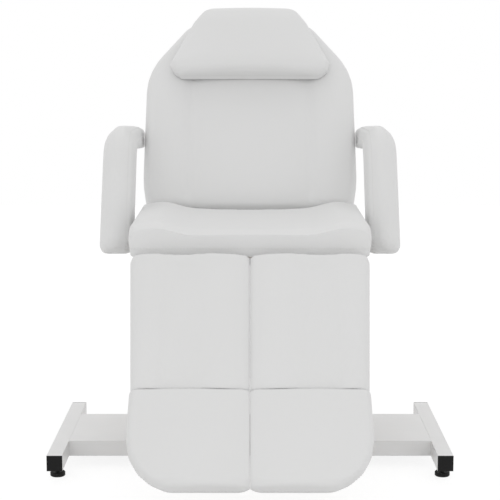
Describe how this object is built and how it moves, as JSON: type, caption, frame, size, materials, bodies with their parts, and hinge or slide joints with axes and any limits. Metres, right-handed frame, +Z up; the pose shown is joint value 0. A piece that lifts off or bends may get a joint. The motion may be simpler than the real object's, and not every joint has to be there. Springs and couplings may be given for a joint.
{
  "type": "pedicure chair",
  "caption": "Pedicure chair with reclining back, head pillow, padded armrests, split leg rests and tilting foot pads on a flat H-shaped base with levelling glides.",
  "frame": {"origin": "on the floor, under the middle of the bounding box", "axes": "+Z up; -Y towards the feet, the way the sitter faces; +X to the viewer's right when the chair is seen from its front"},
  "size_m": [1.04, 1.4582, 1.2282],
  "materials": {
    "white_faux_leather": "satin",
    "white_painted_steel": "satin",
    "black_plastic": "matte",
    "plywood": "matte",
    "zinc_steel": "satin",
    "white_nylon": "satin",
    "webbing": "matte"
  },
  "bodies": {
    "base": {"runner_left": "white_painted_steel", "runner_right": "white_painted_steel", "base_beam": "white_painted_steel", "runner_end_plugs": "black_plastic", "glide_inserts": "zinc_steel", "post_left": "white_painted_steel", "post_right": "white_painted_steel", "post_plates": "white_painted_steel", "post_bolts": "zinc_steel", "seat_rail_left": "white_painted_steel", "seat_rail_right": "white_painted_steel", "seat_cross_tubes": "white_painted_steel", "seat_board": "plywood", "seat_cushion": "white_faux_leather", "back_pivot_rod": "zinc_steel", "leg_pivot_rod": "zinc_steel", "clamp_plates": "zinc_steel", "clamp_bolts": "zinc_steel", "arm_brackets": "white_painted_steel", "arm_pivot_bolts": "zinc_steel"},
    "glide_front_left": {"glide_front_left": "black_plastic"},
    "glide_front_right": {"glide_front_right": "black_plastic"},
    "glide_rear_left": {"glide_rear_left": "black_plastic"},
    "glide_rear_right": {"glide_rear_right": "black_plastic"},
    "backrest": {"back_rail_left": "white_painted_steel", "back_rail_right": "white_painted_steel", "back_cross_tubes": "white_painted_steel", "back_bushes": "white_nylon", "back_quadrant": "zinc_steel", "back_board": "plywood", "back_cushion": "white_faux_leather"},
    "headrest": {"head_pillow": "white_faux_leather", "pillow_strap": "webbing"},
    "back_clamp": {"back_clamp_lever": "black_plastic"},
    "leg_left": {"leg_frame_left": "white_painted_steel", "leg_board_left": "plywood", "leg_cushion_left": "white_faux_leather", "leg_quadrant_left": "zinc_steel"},
    "foot_slide_left": {"foot_slide_frame_left": "white_painted_steel", "foot_hinge_pin_left": "zinc_steel"},
    "foot_left": {"foot_bracket_left": "white_painted_steel", "foot_board_left": "plywood", "foot_cushion_left": "white_faux_leather"},
    "foot_knob_left": {"foot_slide_knob_left": "black_plastic"},
    "leg_clamp_left": {"leg_clamp_knob_left": "black_plastic"},
    "arm_left": {"arm_core_left": "white_painted_steel", "arm_pad_left": "white_faux_leather"},
    "leg_right": {"leg_frame_right": "white_painted_steel", "leg_board_right": "plywood", "leg_cushion_right": "white_faux_leather", "leg_quadrant_right": "zinc_steel"},
    "foot_slide_right": {"foot_slide_frame_right": "white_painted_steel", "foot_hinge_pin_right": "zinc_steel"},
    "foot_right": {"foot_bracket_right": "white_painted_steel", "foot_board_right": "plywood", "foot_cushion_right": "white_faux_leather"},
    "foot_knob_right": {"foot_slide_knob_right": "black_plastic"},
    "leg_clamp_right": {"leg_clamp_knob_right": "black_plastic"},
    "arm_right": {"arm_core_right": "white_painted_steel", "arm_pad_right": "white_faux_leather"}
  },
  "joints": [
    {"name": "glide_screw_front_left", "type": "slide", "parent": "base", "child": "glide_front_left", "axis": [0, 0, 1], "range_m": [-0.01, 0.01]},
    {"name": "glide_screw_front_right", "type": "slide", "parent": "base", "child": "glide_front_right", "axis": [0, 0, 1], "range_m": [-0.01, 0.01]},
    {"name": "glide_screw_rear_left", "type": "slide", "parent": "base", "child": "glide_rear_left", "axis": [0, 0, 1], "range_m": [-0.01, 0.01]},
    {"name": "glide_screw_rear_right", "type": "slide", "parent": "base", "child": "glide_rear_right", "axis": [0, 0, 1], "range_m": [-0.01, 0.01]},
    {"name": "back_recline", "type": "hinge", "parent": "base", "child": "backrest", "pos_m": [0, 0.32311, 0.555], "axis": [-1, 0, 0], "range_deg": [-10, 54]},
    {"name": "head_pillow_rise", "type": "slide", "parent": "backrest", "child": "headrest", "axis": [0, 0.5878, 0.809], "range_m": [0, 0.03]},
    {"name": "back_clamp_turn", "type": "hinge", "parent": "base", "child": "back_clamp", "pos_m": [0, 0.30748, 0.46637], "axis": [1, 0, 0], "range_deg": [-60, 0]},
    {"name": "leg_swing_left", "type": "hinge", "parent": "base", "child": "leg_left", "pos_m": [0, -0.24489, 0.555], "axis": [-1, 0, 0], "range_deg": [0, 45]},
    {"name": "foot_extend_left", "type": "slide", "parent": "leg_left", "child": "foot_slide_left", "axis": [0, -0.7071, -0.7071], "range_m": [0, 0.05]},
    {"name": "foot_tilt_left", "type": "hinge", "parent": "foot_slide_left", "child": "foot_left", "pos_m": [0, -0.53374, 0.2315], "axis": [1, 0, 0], "range_deg": [0, 30]},
    {"name": "foot_knob_turn_left", "type": "hinge", "parent": "leg_left", "child": "foot_knob_left", "pos_m": [-0.222, -0.49238, 0.25519], "axis": [0, -0.7071, 0.7071], "range_deg": [-180, 180]},
    {"name": "leg_clamp_turn_left", "type": "hinge", "parent": "base", "child": "leg_clamp_left", "pos_m": [0, -0.231, 0.47622], "axis": [1, 0, 0], "range_deg": [-180, 180]},
    {"name": "arm_fold_left", "type": "hinge", "parent": "base", "child": "arm_left", "pos_m": [0, 0.03902, 0.57543], "axis": [-1, 0, 0], "range_deg": [0, 75]},
    {"name": "leg_swing_right", "type": "hinge", "parent": "base", "child": "leg_right", "pos_m": [0, -0.24489, 0.555], "axis": [-1, 0, 0], "range_deg": [0, 45]},
    {"name": "foot_extend_right", "type": "slide", "parent": "leg_right", "child": "foot_slide_right", "axis": [0, -0.7071, -0.7071], "range_m": [0, 0.05]},
    {"name": "foot_tilt_right", "type": "hinge", "parent": "foot_slide_right", "child": "foot_right", "pos_m": [0, -0.53374, 0.2315], "axis": [1, 0, 0], "range_deg": [0, 30]},
    {"name": "foot_knob_turn_right", "type": "hinge", "parent": "leg_right", "child": "foot_knob_right", "pos_m": [0.222, -0.49238, 0.25519], "axis": [0, -0.7071, 0.7071], "range_deg": [-180, 180]},
    {"name": "leg_clamp_turn_right", "type": "hinge", "parent": "base", "child": "leg_clamp_right", "pos_m": [0, -0.231, 0.47622], "axis": [1, 0, 0], "range_deg": [-180, 180]},
    {"name": "arm_fold_right", "type": "hinge", "parent": "base", "child": "arm_right", "pos_m": [0, 0.03902, 0.57543], "axis": [-1, 0, 0], "range_deg": [0, 75]}
  ]
}
